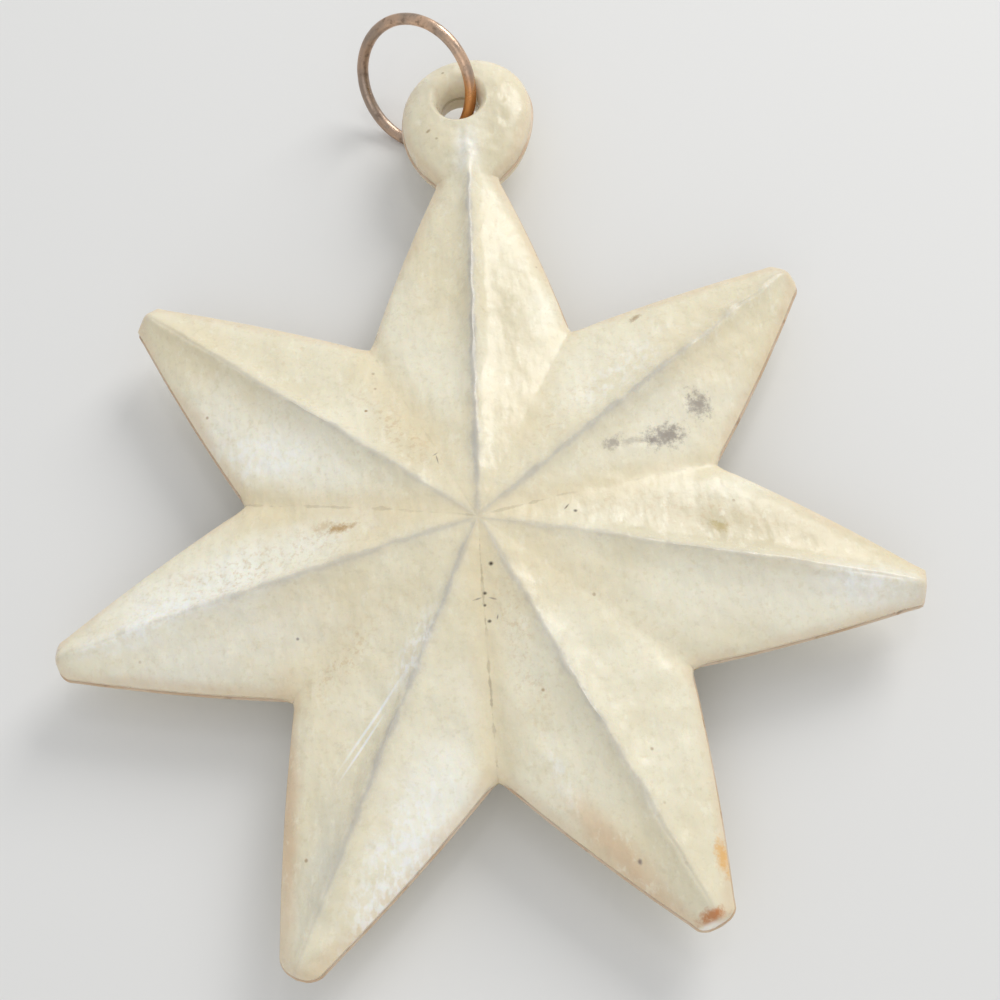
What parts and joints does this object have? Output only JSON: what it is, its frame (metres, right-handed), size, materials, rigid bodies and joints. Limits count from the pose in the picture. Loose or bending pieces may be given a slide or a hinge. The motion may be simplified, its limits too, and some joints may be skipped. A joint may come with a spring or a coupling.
{
  "type": "celluloid star ornament",
  "caption": "Hollow cream celluloid star ornament with ridged tapering arms, a pierced bead at its top and a tarnished copper wire ring threaded through the bead for hanging.",
  "frame": {"origin": "centre of the small flat in the middle of the star's back, on which it lies", "axes": "+Z out of the front face, +Y from the star's centre towards the bead, +X to the right seen from the front"},
  "size_m": [0.053, 0.0639, 0.0085],
  "materials": {
    "front_celluloid": "aged cream celluloid, pearly",
    "back_celluloid": "aged cream celluloid, pearly",
    "rim_cement": "yellowed celluloid cement",
    "eye_cement": "yellowed celluloid cement",
    "copper_wire": "tarnished copper-coloured wire"
  },
  "bodies": {
    "star": {"front_shell": "front_celluloid", "back_shell": "back_celluloid", "rim_seam": "rim_cement", "eye_seam": "eye_cement"},
    "ring": {"hang_ring": "copper_wire"}
  },
  "joints": [
    {"name": "ring_swing", "type": "hinge", "parent": "star", "child": "ring", "pos_m": [0.00035, 0.0321, 0.00363], "axis": [0, 0, 1], "range_deg": [-180, 60]}
  ]
}
